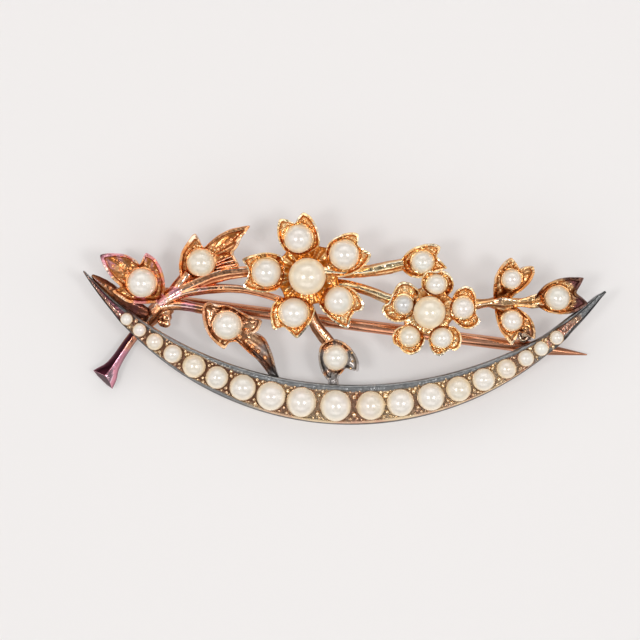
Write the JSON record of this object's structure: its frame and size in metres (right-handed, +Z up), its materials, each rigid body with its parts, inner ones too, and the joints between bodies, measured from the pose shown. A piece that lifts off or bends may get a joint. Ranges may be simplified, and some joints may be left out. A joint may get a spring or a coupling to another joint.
{
  "type": "pearl brooch",
  "caption": "Gold crescent brooch set with graduated pearls, carrying a spray of pearl flowers, buds and leaves, with a hinged pin behind it.",
  "frame": {"origin": "on the table under the middle of the brooch as it lies on its back", "axes": "+X from the hinge side to the catch side, +Y from the crescent to the flowers, +Z up out of the front"},
  "size_m": [0.0448, 0.0182, 0.0064],
  "materials": {
    "gold": "worn polished gold with dark tarnish in its recesses",
    "pearl": "lustrous cream nacre",
    "pin": "satin rose gold",
    "rivet": "satin rose gold"
  },
  "bodies": {
    "brooch": {"gold_mount": "gold", "hinge_rivet": "rivet", "crescent_pearl_1": "pearl", "crescent_pearl_2": "pearl", "crescent_pearl_3": "pearl", "crescent_pearl_4": "pearl", "crescent_pearl_5": "pearl", "crescent_pearl_6": "pearl", "crescent_pearl_7": "pearl", "crescent_pearl_8": "pearl", "crescent_pearl_9": "pearl", "crescent_pearl_10": "pearl", "crescent_pearl_11": "pearl", "crescent_pearl_12": "pearl", "crescent_pearl_13": "pearl", "crescent_pearl_14": "pearl", "crescent_pearl_15": "pearl", "crescent_pearl_16": "pearl", "crescent_pearl_17": "pearl", "crescent_pearl_18": "pearl", "crescent_pearl_19": "pearl", "large_flower_pearl_0": "pearl", "large_flower_pearl_1": "pearl", "large_flower_pearl_2": "pearl", "large_flower_pearl_3": "pearl", "large_flower_pearl_4": "pearl", "large_flower_pearl_5": "pearl", "small_flower_pearl_0": "pearl", "small_flower_pearl_1": "pearl", "small_flower_pearl_2": "pearl", "small_flower_pearl_3": "pearl", "small_flower_pearl_4": "pearl", "small_flower_pearl_5": "pearl", "bud_pearl_1": "pearl", "bud_pearl_2": "pearl", "leaf_pearl_1": "pearl", "leaf_pearl_2": "pearl", "leaf_pearl_3": "pearl", "trefoil_pearl_1": "pearl", "trefoil_pearl_2": "pearl", "trefoil_pearl_3": "pearl"},
    "pin": {"pin_stem": "pin"}
  },
  "joints": [
    {"name": "pin_swing", "type": "hinge", "parent": "brooch", "child": "pin", "pos_m": [-0.01541, 0.00184, 0.00086], "axis": [0.1279, 0.9799, 0.1528], "range_deg": [0, 90]}
  ]
}
